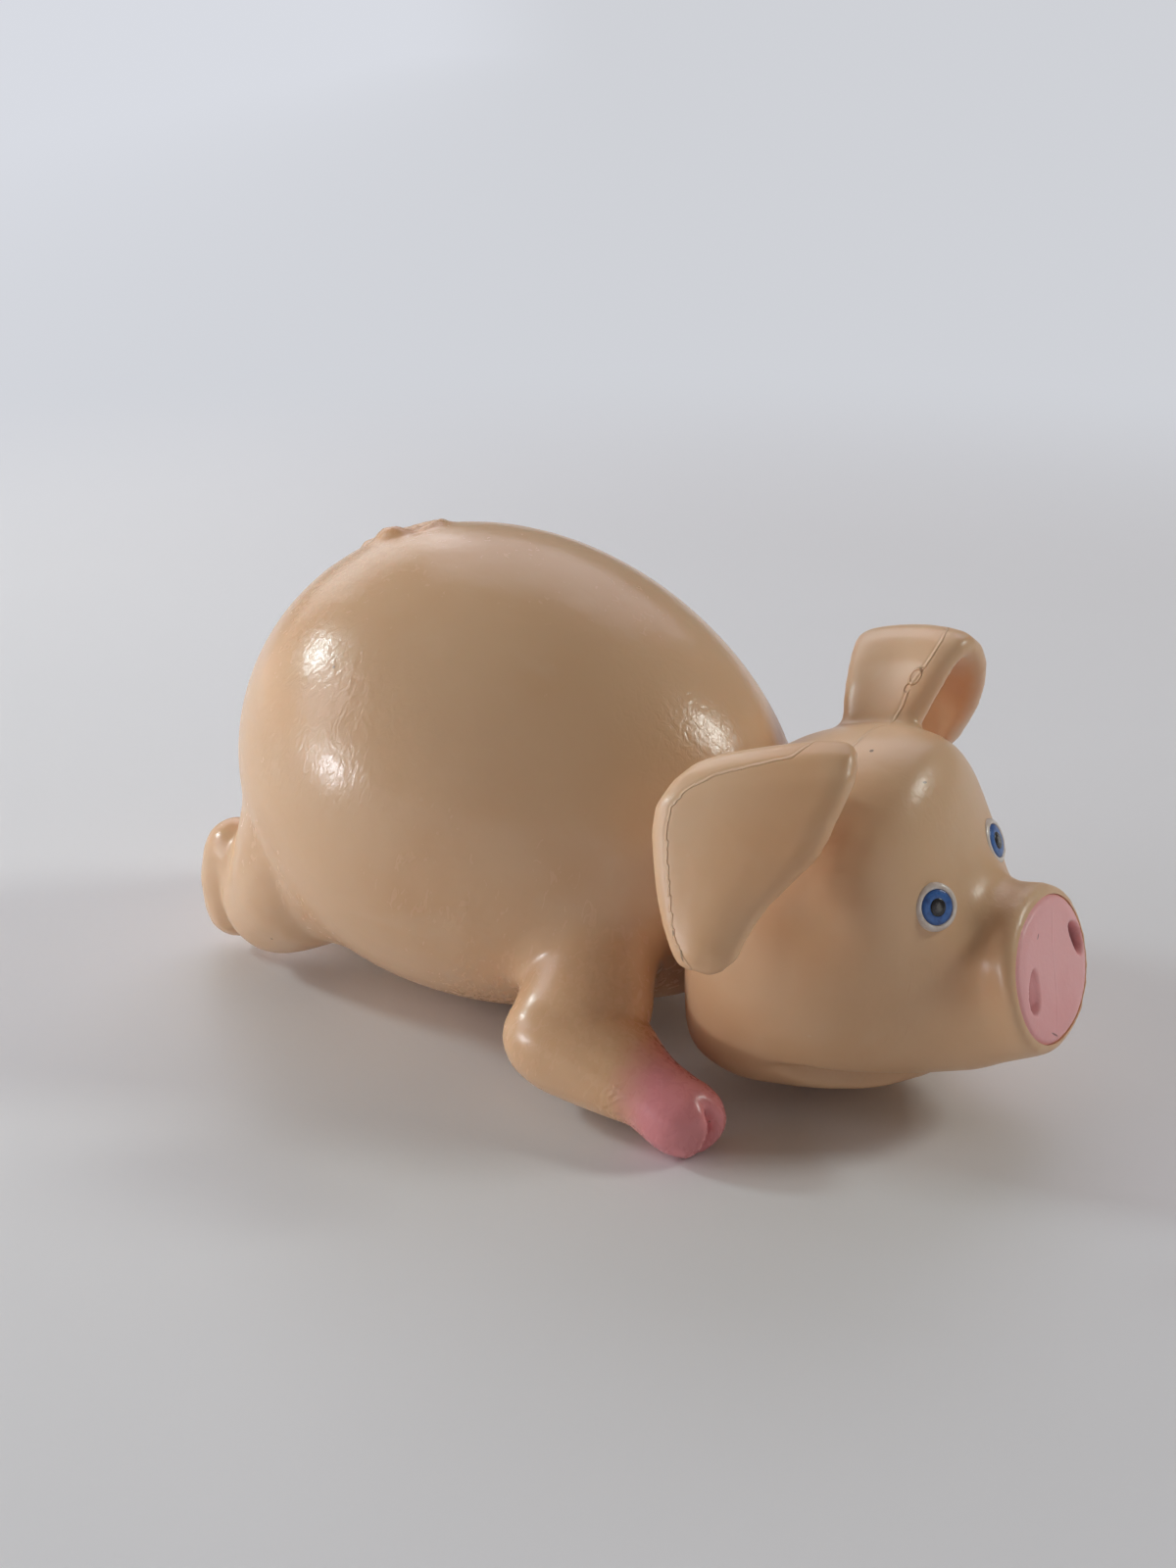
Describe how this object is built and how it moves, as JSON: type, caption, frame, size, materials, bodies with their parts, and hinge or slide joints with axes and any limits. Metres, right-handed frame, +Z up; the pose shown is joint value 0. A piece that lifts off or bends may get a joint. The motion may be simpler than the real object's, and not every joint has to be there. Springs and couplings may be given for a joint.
{
  "type": "toy farm animal figure",
  "caption": "Soft vinyl toy pig lying on its belly with its rump up, folded ears, a flat pink snout, inset eyes, a squeaker in the belly and a head that turns on a snap-in neck",
  "frame": {"origin": "on the small flat the pig rests on, under the middle of its body", "axes": "+X from the rump to the snout, +Y to the pig's left, +Z up"},
  "size_m": [0.1502, 0.0869, 0.0771],
  "materials": {
    "vinyl_skin": "satin, slightly waxy soft vinyl",
    "vinyl_pink": "satin soft vinyl, sprayed pink",
    "eye_white": "gloss",
    "eye_blue": "gloss",
    "eye_black": "gloss",
    "squeaker_plastic": "semi-matt",
    "reed_plastic": "semi-matt"
  },
  "bodies": {
    "body": {"body_shell": "vinyl_skin", "squeaker_housing": "squeaker_plastic", "squeaker_cap": "squeaker_plastic", "squeaker_reed": "reed_plastic"},
    "head": {"head_shell": "vinyl_skin", "snout_pad": "vinyl_pink", "left_eye_white": "eye_white", "left_eye_iris": "eye_blue", "left_eye_pupil": "eye_black", "right_eye_white": "eye_white", "right_eye_iris": "eye_blue", "right_eye_pupil": "eye_black"}
  },
  "joints": [
    {"name": "neck_swivel", "type": "hinge", "parent": "body", "child": "head", "pos_m": [0.04103, 0, 0.03135], "axis": [0.9888, 0, -0.1495], "range_deg": [-29.4, 20.6]}
  ]
}
